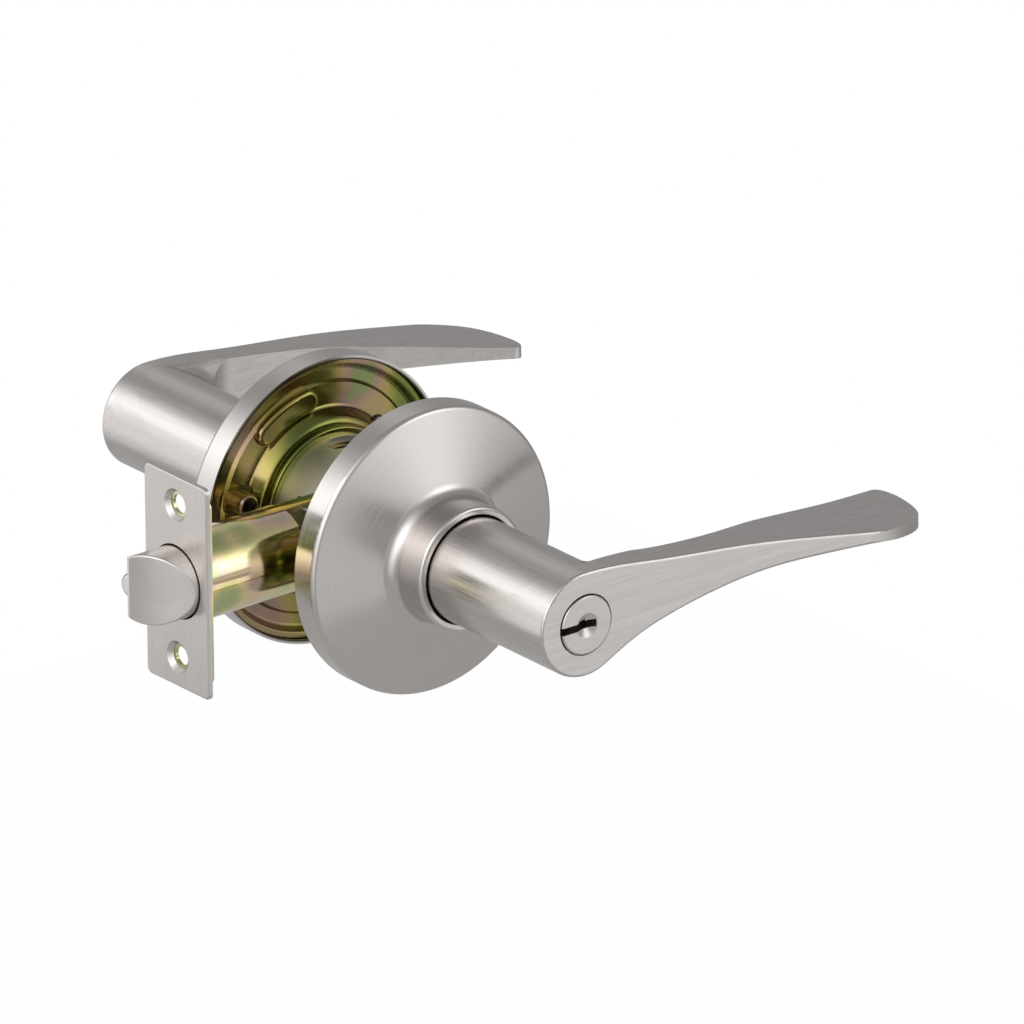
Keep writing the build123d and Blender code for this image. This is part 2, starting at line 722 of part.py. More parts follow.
# Outside lever: the key cylinder goes in from the back and only its plug shows in front.
with BuildPart() as outside_lever:
    add(bored(lever_blank(outside_reach, outside_tip), spindle_end + 0.5))
    with BuildSketch(Plane.XZ.offset(spindle_end)):
        Circle(cylinder_r + seat_gap)
        with Locations((tower_x / 2, 0)):
            Rectangle(tower_x + 2 * seat_gap, tower_w + 2 * seat_gap)
    extrude(amount=outside_reach - front_wall - spindle_end, mode=Mode.SUBTRACT)
    with BuildSketch(Plane.XZ.offset(outside_reach - front_wall - 0.5)):
        Circle(plug_face_r + plug_face_gap)
    extrude(amount=front_wall + 2, mode=Mode.SUBTRACT)
save(outside_lever.part, "outside_lever")

with BuildPart() as inside_lever:
    mirror(bored(lever_blank(inside_reach, inside_tip), spindle_end + 0.5), about=Plane.XZ)
    with BuildSketch(Plane.XZ.offset(-spindle_end)):
        Circle(button_r + run_gap)
    extrude(amount=-inside_reach, mode=Mode.SUBTRACT)
save(inside_lever.part, "inside_lever")

# Key cylinder: body with a pin tower, plug with keyway, pins set at the shear line.
body_front = outside_reach - front_wall - seat_gap
pin_rows = [-(body_front - first_pin - pin_pitch * n) for n in range(5)]
with BuildPart() as cylinder:
    with BuildSketch(Plane.XZ.offset(cylinder_rear)):
        Circle(cylinder_r)
        with Locations((tower_x / 2, 0)):
            Rectangle(tower_x, tower_w)
        Circle(plug_r + run_gap, mode=Mode.SUBTRACT)
    extrude(amount=body_front - cylinder_rear)
    with BuildSketch(Plane.YZ):
        with Locations([(row, 0) for row in pin_rows]):
            Circle(pin_hole_r)
    extrude(amount=tower_x + 1, mode=Mode.SUBTRACT)
    with BuildSketch(Plane.YZ.offset(tower_x - 0.7)):
        with Locations(((pin_rows[0] + pin_rows[4]) / 2, 0)):
            Rectangle(4 * pin_pitch + 5, 4.2)
    extrude(amount=1, mode=Mode.SUBTRACT)
save(cylinder.part, "cylinder_body")

with BuildPart() as pin_cover:
    with BuildSketch(Plane.YZ.offset(tower_x - 0.7 + seat_gap)):
        with Locations(((pin_rows[0] + pin_rows[4]) / 2, 0)):
            Rectangle(4 * pin_pitch + 4.9, 4.1)
    extrude(amount=0.6)
save(pin_cover.part, "pin_cover")

plug_front = outside_reach + plug_proud
plug_rear = cylinder_rear - 1.6
clip_start = cylinder_rear - clip_gap - clip_t
with BuildPart() as plug:
    with BuildSketch(Plane.XZ.offset(plug_rear)):
        Circle(plug_r)
    extrude(amount=body_front - plug_rear + slide_gap)
    with BuildSketch(Plane.XZ.offset(body_front + slide_gap)):
        Circle(plug_face_r)
    extrude(amount=plug_front - body_front - slide_gap)
    fillet(plug.faces().sort_by(Axis.Y)[0].edges(), 0.5)
    # Keyway: a slot open to one side, with a shoulder, and a dished lead-in for the key.
    with BuildSketch(Plane.XZ.offset(plug_rear + 6)):
        with Locations((-plug_face_r / 2 + 1.5, 0)):
            Rectangle(plug_face_r + 3, 2.0)
        with Locations((-1.2, 0.75)):
            Rectangle(2.4, 1.5)
    extrude(amount=plug_front - plug_rear, mode=Mode.SUBTRACT)
    with BuildSketch(Plane.XZ.offset(plug_front)):
        Circle(3.3)
    with BuildSketch(Plane.XZ.offset(plug_front - 0.9)):
        Circle(1.2)
    loft(mode=Mode.SUBTRACT)
    with BuildSketch(Plane.YZ):
        with Locations([(row, 0) for row in pin_rows]):
            Circle(pin_hole_r)
    extrude(amount=plug_r + 1, mode=Mode.SUBTRACT)
    # Groove for the clip and slot for the tailpiece at the rear.
    with BuildSketch(Plane.XZ.offset(clip_start - seat_gap)):
        Circle(plug_r + 1)
        Circle(plug_r - 0.9, mode=Mode.SUBTRACT)
    extrude(amount=clip_t + 2 * seat_gap, mode=Mode.SUBTRACT)
    with BuildSketch(Plane.XZ.offset(plug_rear)):
        Rectangle(bar_w + 2 * seat_gap, bar_t + 2 * seat_gap)
    extrude(amount=3.5, mode=Mode.SUBTRACT)
save(plug.part, "key_plug")

with BuildPart() as clip:
    add(ring(plug_r - 0.9 + seat_gap, plug_r + 1.2, clip_start, clip_start + clip_t))
    with BuildSketch(Plane.XZ.offset(cylinder_rear - 2)):
        with Locations((-plug_r, 0)):
            Rectangle(4, 7)
    extrude(amount=4, mode=Mode.SUBTRACT)
save(clip.part, "plug_clip")

with BuildPart() as tailpiece:
    with BuildSketch(Plane.XZ.offset(bar_start)):
        Rectangle(bar_w, bar_t)
    extrude(amount=plug_rear + 3.3 - bar_start)
save(tailpiece.part, "tailpiece")

shear = sqrt(plug_r**2 - pin_r**2) - 0.08
with BuildPart() as key_pins:
    for row, step in zip(pin_rows, key_steps):
        with BuildSketch(Plane.YZ.offset(shear)):
            with Locations((row, 0)):
                Circle(pin_r)
        extrude(amount=-3.2 - step)
save(key_pins.part, "key_pins")

driver_base = plug_r + 0.3
with BuildPart() as driver_pins:
    with BuildSketch(Plane.YZ.offset(driver_base)):
        with Locations([(row, 0) for row in pin_rows]):
            Circle(pin_r)
    extrude(amount=2.2)
save(driver_pins.part, "driver_pins")

coil_base = driver_base + 2.2 + 0.25
with BuildPart() as pin_springs:
    for row in pin_rows:
        add(coil((coil_base, row, 0), (1, 0, 0), 1.0, 0.18, 0.62, tower_x - 0.7 - coil_base - 0.25))
save(pin_springs.part, "pin_springs")

# Turn button in the inside lever, and the shaft that carries its turn to the chassis.
with BuildPart() as button:
    with BuildSketch(Plane.XZ.offset(-inside_reach - 0.8)):
        Circle(button_r)
    extrude(amount=inside_reach + 0.8 - button_h)
    with BuildSketch(Plane.XZ.offset(-inside_reach - 0.6)):
        SlotOverall(thumb_l, thumb_w, rotation=90)
    extrude(amount=-8)
    fillet(button.faces().sort_by(Axis.Y)[-1].edges(), 1.2)
    with BuildSketch(Plane.XZ.offset(-button_h)):
        Circle(shaft_r + seat_gap)
    extrude(amount=-6, mode=Mode.SUBTRACT)
save(button.part, "turn_button")

with BuildPart() as shaft:
    with BuildSketch(Plane.XZ.offset(-button_h - 5.8)):
        Circle(shaft_r)
    extrude(amount=button_h + 5.8 + 3.0)
save(shaft.part, "button_shaft")

# Lever catches: a pin through the spindle into the lever, riveted to a bowed strip spring.
with BuildPart() as outside_catch:
    with BuildSketch(Plane.XY.offset(-catch_tip)):
        with Locations((0, -catch_y)):
            Circle(catch_r)
    extrude(amount=catch_tip - catch_head + 0.4)
    with BuildSketch(Plane.XY.offset(-catch_head)):
        with Locations((0, -catch_y)):
            Circle(catch_r + 0.9)
    extrude(amount=catch_head - bow_r + bow_z - 0.4 - slide_gap)
    fillet(outside_catch.faces().sort_by(Axis.Z)[0].edges(), 0.5)
save(outside_catch.part, "outside_catch")
save(mirrored(outside_catch.part), "inside_catch")

with BuildPart() as outside_bow:
    with BuildSketch(Plane.XZ.offset(catch_y - 2.5)):
        with BuildLine():
            CenterArc((0, bow_z), bow_r, -250, 320)
            offset(amount=0.4, side=Side.BOTH)
        make_face()
    extrude(amount=5)
save(outside_bow.part, "outside_catch_spring")
save(mirrored(outside_bow.part), "inside_catch_spring")
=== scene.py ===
"""Finishes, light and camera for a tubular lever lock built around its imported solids."""

import logging
import math
from dataclasses import dataclass
from enum import Enum, IntEnum

import bmesh
import bpy
from mathutils import Matrix, Vector


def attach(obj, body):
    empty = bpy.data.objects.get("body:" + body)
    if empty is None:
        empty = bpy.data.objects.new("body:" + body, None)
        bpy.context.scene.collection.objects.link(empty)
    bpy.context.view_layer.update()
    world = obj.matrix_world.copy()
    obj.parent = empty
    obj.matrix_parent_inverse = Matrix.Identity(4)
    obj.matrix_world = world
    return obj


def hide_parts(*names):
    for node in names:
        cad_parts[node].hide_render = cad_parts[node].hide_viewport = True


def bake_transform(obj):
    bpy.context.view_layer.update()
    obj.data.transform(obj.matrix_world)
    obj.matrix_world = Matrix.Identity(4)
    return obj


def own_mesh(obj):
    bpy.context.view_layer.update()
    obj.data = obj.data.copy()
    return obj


LOG = logging.getLogger("lever_lock")
MM = 0.001
WHITE = (1.0, 1.0, 1.0, 1.0)
Colour = tuple[float, float, float]
Point = tuple[float, float, float]
Stop = tuple[float, Colour]
Socket = bpy.types.NodeSocket

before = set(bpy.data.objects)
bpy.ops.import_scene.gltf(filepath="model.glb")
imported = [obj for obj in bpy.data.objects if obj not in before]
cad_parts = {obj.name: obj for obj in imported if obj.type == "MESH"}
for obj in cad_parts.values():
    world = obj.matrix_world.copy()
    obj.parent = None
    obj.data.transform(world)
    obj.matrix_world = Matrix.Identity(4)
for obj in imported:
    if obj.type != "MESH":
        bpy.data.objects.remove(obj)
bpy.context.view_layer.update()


class Axis(IntEnum):
    """The frame's axes by their place in a point: along the latch, along the spindle and upright."""

    X = 0
    Y = 1
    Z = 2


class Brush(Enum):
    """The way a brushed surface was drawn past the abrasive belt or wheel."""

    ROUND_SPINDLE = "round the spindle axis"
    ALONG_LATCH = "along the latch, X"
    ALONG_SPINDLE = "along the spindle, Y"
    UPRIGHT = "up and down, Z"
    LEVER = "along the neck, then along the blade"


class Tree:
    """Short ways to add and join nodes in one node tree."""

    def __init__(self, nodes: bpy.types.Nodes, links: bpy.types.NodeLinks) -> None:
        """Keep the tree's node and link collections."""
        self.nodes = nodes
        self.links = links

    def add(self, kind: str, **values: object) -> bpy.types.Node:
        """Add a node and set its properties.

        Args:
            kind: The node's type name without the ShaderNode prefix.
            values: Properties to set on the node.

        Returns:
            The new node.
        """
        node = self.nodes.new("ShaderNode" + kind)
        for name, value in values.items():
            setattr(node, name, value)
        return node

    def join(self, source: Socket, target: Socket) -> None:
        """Link one socket to another."""
        self.links.new(source, target)

    def feed(self, target: Socket, value: object) -> None:
        """Set an input socket, or link it when the value is a socket.

        Args:
            target: The input socket.
            value: A constant or a socket.
        """
        if isinstance(value, Socket):
            self.links.new(value, target)
        else:
            target.default_value = value

    def math(self, operation: str, *values: object) -> Socket:
        """Add a math node and feed its inputs.

        Args:
            operation: The math operation's name.
            values: Numbers or sockets for the inputs, in order.

        Returns:
            The result socket.
        """
        node = self.add("Math", operation=operation)
        for socket, value in zip(node.inputs, values):
            self.feed(socket, value)
        return node.outputs[0]

    def span(self, value: Socket, low: float, high: float, start: float = 0.0, end: float = 1.0) -> Socket:
        """Map a value from one range to another, smoothly and clamped.

        Args:
            value: The socket to map.
            low: Where the input range starts.
            high: Where the input range ends.
            start: The result at the low end.
            end: The result at the high end.

        Returns:
            The mapped value's socket.
        """
        node = self.add("MapRange", interpolation_type="SMOOTHSTEP")
        for socket, item in zip(node.inputs, (value, low, high, start, end)):
            self.feed(socket, item)
        return node.outputs[0]

    def vector(self, x: Socket, y: Socket, z: Socket) -> Socket:
        """Combine three values to a vector.

        Args:
            x: The first value's socket.
            y: The second value's socket.
            z: The third value's socket.

        Returns:
            The vector's socket.
        """
        node = self.add("CombineXYZ")
        for socket, value in zip(node.inputs, (x, y, z)):
            self.join(value, socket)
        return node.outputs[0]

    def place(self) -> tuple[Socket, Socket, Socket]:
        """Split the surface's Object coordinates.

        Returns:
            The sockets of X, Y and Z.
        """
        parts = self.add("SeparateXYZ")
        self.join(self.add("TexCoord").outputs["Object"], parts.inputs[0])
        x, y, z = parts.outputs
        return x, y, z

    def radius(self, x: Socket, z: Socket) -> Socket:
        """Measure the distance from the spindle's axis.

        Args:
            x: The socket of X.
            z: The socket of Z.

        Returns:
            The distance's socket.
        """
        square = self.math("ADD", self.math("MULTIPLY", x, x), self.math("MULTIPLY", z, z))
        return self.math("SQRT", square)

    def mix(self, factor: Socket, first: Socket | Colour, second: Socket | Colour) -> Socket:
        """Mix two colours.

        Args:
            factor: The share of the second colour.
            first: A colour or a colour socket.
            second: A colour or a colour socket.

        Returns:
            The mixed colour's socket.
        """
        node = self.add("Mix", data_type="RGBA")
        self.feed(node.inputs["Factor"], factor)
        for name, value in (("A", first), ("B", second)):
            socket = [s for s in node.inputs if s.name == name and s.type == "RGBA"][0]
            self.feed(socket, value if isinstance(value, Socket) else (*value, 1.0))
        return [s for s in node.outputs if s.type == "RGBA"][0]

    def ramp(self, value: Socket, stops: list[Stop]) -> Socket:
        """Turn a value into a colour through a ramp.

        Args:
            value: The socket that drives the ramp.
            stops: Positions and colours, in order.

        Returns:
            The colour's socket.
        """
        node = self.add("ValToRGB")
        elements = node.color_ramp.elements
        while len(elements) < len(stops):
            elements.new(0.5)
        for element, (place, colour) in zip(elements, stops):
            element.position = place
            element.color = (*colour, 1.0)
        self.join(value, node.inputs[0])
        return node.outputs[0]


@dataclass(frozen=True)
class Mottle:
    """A noise's grain, and the part of its range that is stretched to run from 0 to 1."""

    scale: float
    detail: float
    roughness: float
    low: float = 0.3
    high: float = 0.7


class GroupTree(Tree):
    """The tree of a shared node group, with its input and output nodes."""

    def __init__(self, group: bpy.types.NodeTree) -> None:
        """Add the group's input and output nodes.

        Args:
            group: The node group to fill.
        """
        super().__init__(group.nodes, group.links)
        self.source = group.nodes.new("NodeGroupInput")
        self.result = group.nodes.new("NodeGroupOutput")

    def put_out(self, output: str, grain: Mottle, place: Socket, scale: Socket | None = None) -> None:
        """Send a stretched noise out of the group.

        Args:
            output: The name of the group's output.
            grain: The noise's grain.
            place: The socket of the coordinates.
            scale: A socket that takes the place of the grain's own scale.
        """
        noise = self.add("TexNoise")
        self.join(place, noise.inputs["Vector"])
        self.feed(noise.inputs["Scale"], grain.scale if scale is None else scale)
        self.feed(noise.inputs["Detail"], grain.detail)
        self.feed(noise.inputs["Roughness"], grain.roughness)
        self.join(self.span(noise.outputs["Fac"], grain.low, grain.high), self.result.inputs[output])


class Effects:
    """Node groups that several finishes share, each built once."""

    LINE = Mottle(scale=1.0, detail=3.0, roughness=0.65)
    BAND = Mottle(scale=0.16, detail=2.0, roughness=0.5)
    CLOUD = Mottle(scale=60.0, detail=1.2, roughness=0.45)
    SPECK = Mottle(scale=1400.0, detail=2.0, roughness=0.6, low=0.35, high=0.75)
    _made: dict[str, bpy.types.NodeTree] = {}

    @classmethod
    def _start(cls, name: str, inputs: dict[str, float | None], outputs: tuple[str, ...]) -> GroupTree:
        """Open a new group with named sockets.

        Args:
            name: The group's name.
            inputs: The default of each input by name, or None for a vector.
            outputs: The name of each output value.

        Returns:
            The group's tree helper.
        """
        group = bpy.data.node_groups.new(name, "ShaderNodeTree")
        for label, default in inputs.items():
            kind = "NodeSocketVector" if default is None else "NodeSocketFloat"
            socket = group.interface.new_socket(label, in_out="INPUT", socket_type=kind)
            if default is not None:
                socket.default_value = default
        for label in outputs:
            group.interface.new_socket(label, in_out="OUTPUT", socket_type="NodeSocketFloat")
        cls._made[name] = group
        return GroupTree(group)

    @classmethod
    def streaks(cls) -> bpy.types.NodeTree:
        """Brush marks: fine lines and softer bands, long the way that the coordinates run slowly.

        Returns:
            The node group with the outputs Streak and Band.
        """
        if "brush_streaks" not in cls._made:
            tree = cls._start("brush_streaks", {"Drawn": None, "Fineness": 1.0}, ("Streak", "Band"))
            fine = tree.add("VectorMath", operation="SCALE")
            tree.join(tree.source.outputs["Drawn"], fine.inputs[0])
            tree.join(tree.source.outputs["Fineness"], fine.inputs["Scale"])
            tree.put_out("Streak", cls.LINE, fine.outputs[0])
            tree.put_out("Band", cls.BAND, fine.outputs[0])
        return cls._made["brush_streaks"]

    @classmethod
    def clouds(cls) -> bpy.types.NodeTree:
        """Soft patches and small specks on plated or cast metal.

        Returns:
            The node group with the outputs Cloud and Speck.
        """
        if "plating_clouds" not in cls._made:
            tree = cls._start("plating_clouds", {"Size": cls.CLOUD.scale}, ("Cloud", "Speck"))
            place = tree.add("TexCoord").outputs["Object"]
            tree.put_out("Cloud", cls.CLOUD, place, tree.source.outputs["Size"])
            tree.put_out("Speck", cls.SPECK, place)
        return cls._made["plating_clouds"]


@dataclass(frozen=True)
class Finish:
    """What every finish has: a name and the way to start its material."""

    name: str

    def material(self) -> bpy.types.Material:
        """Build the material, which each kind of finish does in its own way."""
        raise NotImplementedError

    def start(self) -> tuple[bpy.types.Material, Tree, bpy.types.Node]:
        """Make a material of plain metal.

        Returns:
            The material, its tree helper and its Principled node.
        """
        material = bpy.data.materials.new(self.name)
        material.use_nodes = True
        material.node_tree.nodes.clear()
        tree = Tree(material.node_tree.nodes, material.node_tree.links)
        shader = tree.add("BsdfPrincipled")
        shader.inputs["Metallic"].default_value = 1.0
        output = tree.add("OutputMaterial")
        tree.join(shader.outputs[0], output.inputs["Surface"])
        return material, tree, shader

    @staticmethod
    def effect(tree: Tree, group: bpy.types.NodeTree, **values: float) -> bpy.types.Node:
        """Place a shared node group in a material.

        Args:
            tree: The material's tree helper.
            group: The group to place.
            values: Constants for the group's inputs.

        Returns:
            The group node.
        """
        node = tree.add("Group")
        node.node_tree = group
        for name, value in values.items():
            node.inputs[name].default_value = value
        return node

    @staticmethod
    def bump(tree: Tree, shader: bpy.types.Node, height: Socket, distance: float, strength: float) -> None:
        """Raise the surface a little by a height socket.

        Args:
            tree: The material's tree helper.
            shader: The Principled node.
            height: The height socket.
            distance: The height's full size in metres.
            strength: The share of the height that counts.
        """
        node = tree.add("Bump")
        node.inputs["Strength"].default_value = strength
        node.inputs["Distance"].default_value = distance
        tree.join(height, node.inputs["Height"])
        tree.join(node.outputs["Normal"], shader.inputs["Normal"])


@dataclass(frozen=True)
class ShadedInside:
    """Painted shade on the inside wall of a drawn rose, in metres from the spindle and from the door's
    middle.
    """

    wall_inner: float = 0.0372
    wall_outer: float = 0.0378
    depth_full: float = 0.0240
    depth_end: float = 0.0246
    # Near-black colour painted on the wall as shade, where the rose's inside lies in shadow.
    tint: Colour = (0.05, 0.046, 0.042)


@dataclass(frozen=True)
class LeverGrain:
    """Where a lever's brush marks change from along the neck to along the blade, in metres."""

    blade_start: float = 0.011
    blade_full: float = 0.017
    face_start: float = 0.0862
    face_full: float = 0.0871


@dataclass(frozen=True)
class BrushRates:
    """How fast the brush pattern runs, per metre along and across the marks, and round the spindle."""

    along: float = 60.0
    across: float = 3200.0
    turned: float = 1.8
    depth_share: float = 0.83
    smallest_radius: float = 0.0005


@dataclass(frozen=True)
class BrushedMetal(Finish):
    """Metal drawn one way past an abrasive, with fine lines and faint bands."""

    tint: Colour
    brush: Brush
    roughness: float = 0.3
    fineness: float = 1.0
    contrast: float = 0.1
    anisotropy: float = 0.0
    band_share: float = 0.35
    lightening: float = 0.55
    roughness_spread: float = 0.08
    mark_height: float = 0.00002
    mark_share: float = 0.14
    quarter_turn: float = 0.25
    rates: BrushRates = BrushRates()
    grain: LeverGrain = LeverGrain()
    # Where set, the painted shade on a rose's inside wall.
    inside: ShadedInside | None = None

    def drawn(self, tree: Tree, brush: Brush) -> Socket:
        """Coordinates that run slowly along the brush marks and fast across them.

        Args:
            tree: The material's tree helper.
            brush: The direction of the marks.

        Returns:
            The coordinates' socket.
        """
        x, y, z = tree.place()
        slow, fast = self.rates.along, self.rates.across
        if brush is Brush.ROUND_SPINDLE:
            radius = tree.radius(x, z)
            safe = tree.math("MAXIMUM", radius, self.rates.smallest_radius)
            depth = tree.math("ADD", radius, tree.math("MULTIPLY", y, self.rates.depth_share))
            return tree.vector(
                tree.math("MULTIPLY", tree.math("DIVIDE", x, safe), self.rates.turned),
                tree.math("MULTIPLY", tree.math("DIVIDE", z, safe), self.rates.turned),
                tree.math("MULTIPLY", depth, fast),
            )
        rates = {
            Brush.ALONG_LATCH: (slow, fast, fast),
            Brush.ALONG_SPINDLE: (fast, slow, fast),
            Brush.UPRIGHT: (fast, fast, slow),
        }[brush]
        return tree.vector(*(tree.math("MULTIPLY", part, rate) for part, rate in zip((x, y, z), rates)))

    def streaks(self, tree: Tree, brush: Brush) -> bpy.types.Node:
        """Place the brush marks of one direction.

        Args:
            tree: The material's tree helper.
            brush: The direction of the marks.

        Returns:
            The group node with the outputs Streak and Band.
        """
        group = self.effect(tree, Effects.streaks(), Fineness=self.fineness)
        tree.join(self.drawn(tree, brush), group.inputs["Drawn"])
        return group

    def marks(self, tree: Tree) -> tuple[Socket, Socket]:
        """The brush lines and bands over the whole piece.

        Args:
            tree: The material's tree helper.

        Returns:
            The sockets of the lines and of the bands.
        """
        if self.brush is not Brush.LEVER:
            group = self.streaks(tree, self.brush)
            return group.outputs["Streak"], group.outputs["Band"]
        neck = self.streaks(tree, Brush.ALONG_SPINDLE)
        blade = self.streaks(tree, Brush.ALONG_LATCH)
        x, y, _ = tree.place()
        along = tree.span(x, self.grain.blade_start, self.grain.blade_full)
        front = tree.span(tree.math("ABSOLUTE", y), self.grain.face_start, self.grain.face_full)
        share = tree.math("MAXIMUM", along, front)
        mixed = []
        for name in ("Streak", "Band"):
            node = tree.add("Mix", data_type="FLOAT")
            tree.join(share, node.inputs[0])
            tree.join(neck.outputs[name], node.inputs[2])
            tree.join(blade.outputs[name], node.inputs[3])
            mixed.append(node.outputs[0])
        return mixed[0], mixed[1]

    @staticmethod
    def painted_wall_shade(tree: Tree, inside: ShadedInside) -> Socket:
        """Where a rose's wall is seen from within, which is painted near-black as shade.

        Args:
            tree: The material's tree helper.
            inside: The sizes that bound the inside.

        Returns:
            The painted shade mask's socket, 1 on the inside.
        """
        x, y, z = tree.place()
        near = tree.span(tree.radius(x, z), inside.wall_inner, inside.wall_outer, 1.0, 0.0)
        deep = tree.span(tree.math("ABSOLUTE", y), inside.depth_full, inside.depth_end, 1.0, 0.0)
        return tree.math("MULTIPLY", near, deep)

    def material(self) -> bpy.types.Material:
        """Build the material.

        Returns:
            The finished material.
        """
        material, tree, shader = self.start()
        line, band = self.marks(tree)
        dark = tuple(part * (1.0 - self.contrast) for part in self.tint)
        light = tuple(min(1.0, part * (1.0 + self.lightening * self.contrast)) for part in self.tint)
        lines = tree.math("MULTIPLY", line, 1.0 - self.band_share)
        both = tree.math("ADD", lines, tree.math("MULTIPLY", band, self.band_share))
        colour = tree.mix(both, dark, light)
        # Paint the rose's inside wall near-black as shade.
        if self.inside is not None:
            colour = tree.mix(self.painted_wall_shade(tree, self.inside), colour, self.inside.tint)
        tree.join(colour, shader.inputs["Base Color"])
        spread = tree.math("MULTIPLY", line, self.roughness_spread)
        smoothest = self.roughness - self.roughness_spread / 2
        tree.join(tree.math("ADD", smoothest, spread), shader.inputs["Roughness"])
        shader.inputs["Anisotropic"].default_value = self.anisotropy
        if self.anisotropy > 0.0:
            turned = tree.add("Tangent", direction_type="RADIAL", axis="Y")
            tree.join(turned.outputs[0], shader.inputs["Tangent"])
            shader.inputs["Anisotropic Rotation"].default_value = self.quarter_turn
        self.bump(tree, shader, line, self.mark_height, self.mark_share)
        return material


YELLOW_DRIFT: tuple[Stop, ...] = (
    (0.0, (0.19, 0.25, 0.06)),
    (0.26, (0.33, 0.32, 0.08)),
    (0.50, (0.48, 0.39, 0.12)),
    (0.72, (0.49, 0.36, 0.19)),
    (0.86, (0.46, 0.29, 0.23)),
    (1.0, (0.27, 0.33, 0.13)),
)


@dataclass(frozen=True)
class BareZinc:
    """How the plating thins to bright zinc in wide soft patches."""

    tint: Colour = (0.88, 0.88, 0.82)
    patch: float = 30.0
    low: float = 0.1
    high: float = 0.6
    least: float = 0.7


@dataclass(frozen=True)
class YellowZinc(Finish):
    """Yellow passivated zinc: glossy olive gold that drifts to green and pink."""

    roughness: float = 0.16
    patch: float = 40.0
    bare: float = 0.0
    # Scales the plating's colour: below 1 it paints shade into it, above 1 it paints light.
    level: float = 1.0
    bare_zinc: BareZinc = BareZinc()
    speck_tint: Colour = (0.28, 0.25, 0.10)
    speck_share: float = 0.10
    speck_roughness: float = 0.04
    speck_height: float = 0.00001
    speck_bump: float = 0.06
    coat: float = 0.12
    coat_roughness: float = 0.06

    def material(self) -> bpy.types.Material:
        """Build the material.

        Returns:
            The finished material.
        """
        material, tree, shader = self.start()
        clouds = self.effect(tree, Effects.clouds(), Size=self.patch)
        # The level scales the drift colours, which paints shade or light into the plating.
        stops = [(place, tuple(self.level * part for part in colour)) for place, colour in YELLOW_DRIFT]
        colour = tree.ramp(clouds.outputs["Cloud"], stops)
        if self.bare > 0.0:
            colour = self.worn_bare(tree, colour)
        speck = clouds.outputs["Speck"]
        share = tree.span(speck, 0.0, 1.0, 0.0, self.speck_share)
        tree.join(tree.mix(share, colour, self.speck_tint), shader.inputs["Base Color"])
        dull = tree.math("MULTIPLY", speck, self.speck_roughness)
        tree.join(tree.math("ADD", self.roughness, dull), shader.inputs["Roughness"])
        shader.inputs["Coat Weight"].default_value = self.coat
        shader.inputs["Coat Roughness"].default_value = self.coat_roughness
        self.bump(tree, shader, speck, self.speck_height, self.speck_bump)
        return material

    def worn_bare(self, tree: Tree, plated: Socket) -> Socket:
        """Let the plating thin to bright zinc.

        Args:
            tree: The material's tree helper.
            plated: The plating's colour socket.

        Returns:
            The colour socket with the bright patches.
        """
        zinc = self.bare_zinc
        wide = self.effect(tree, Effects.clouds(), Size=zinc.patch)
        share = tree.span(wide.outputs["Cloud"], zinc.low, zinc.high, zinc.least * self.bare, self.bare)
        return tree.mix(share, plated, zinc.tint)


@dataclass(frozen=True)
class PlainMetal(Finish):
    """Plated or turned metal with faint clouds and specks."""

    tint: Colour
    shade: Colour
    roughness: float = 0.3
    patch: float = 120.0
    pitted: float = 0.3
    shade_share: float = 0.7
    pit_roughness: float = 0.4
    pit_height: float = 0.00003

    def material(self) -> bpy.types.Material:
        """Build the material.

        Returns:
            The finished material.
        """
        material, tree, shader = self.start()
        clouds = self.effect(tree, Effects.clouds(), Size=self.patch)
        share = tree.math("MULTIPLY", clouds.outputs["Cloud"], self.shade_share)
        tree.join(tree.mix(share, self.tint, self.shade), shader.inputs["Base Color"])
        speck = clouds.outputs["Speck"]
        dull = tree.math("MULTIPLY", speck, self.pit_roughness * self.pitted)
        tree.join(tree.math("ADD", self.roughness, dull), shader.inputs["Roughness"])
        self.bump(tree, shader, speck, self.pit_height, self.pitted)
        return material


class Wardrobe:
    """Builds each finish's material the first time it is asked for."""

    def __init__(self) -> None:
        """Start with no materials."""
        self._made: dict[str, bpy.types.Material] = {}

    def get(self, finish: Finish) -> bpy.types.Material:
        """The material of a finish.

        Args:
            finish: The finish to look up or build.

        Returns:
            The material, built once and shared after that.
        """
        if finish.name not in self._made:
            self._made[finish.name] = finish.material()
        return self._made[finish.name]


NICKEL: Colour = (0.630, 0.597, 0.576)
STEEL: Colour = (0.640, 0.600, 0.574)

BRIGHT_ZINC = PlainMetal("bright_zinc", (0.56, 0.57, 0.58), (0.44, 0.45, 0.46), roughness=0.28)
SPRING_STEEL = PlainMetal("spring_steel", (0.40, 0.40, 0.41), (0.26, 0.26, 0.27), roughness=0.32)
TURNED_BRASS = PlainMetal("turned_brass", (0.72, 0.55, 0.27), (0.58, 0.42, 0.19), roughness=0.28)


@dataclass
class SubAssembly:
    """A group of the lock's pieces that share a place and a job."""

    title: str = "lock"

    def finishes(self) -> dict[str, Finish]:
        """The finish of each piece, by node name."""
        return {}

    def build(self, wardrobe: Wardrobe) -> None:
        """Dress every piece of the group.

        Args:
            wardrobe: The store of finished materials.
        """
        for node, finish in self.finishes().items():
            self.dress(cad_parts[node].data, wardrobe.get(finish))
            LOG.info("%s: %s in %s", self.title, node, finish.name)

    @staticmethod
    def dress(mesh: bpy.types.Mesh, material: bpy.types.Material) -> None:
        """Put a material on a mesh in place of its own."""
        mesh.materials.clear()
        mesh.materials.append(material)


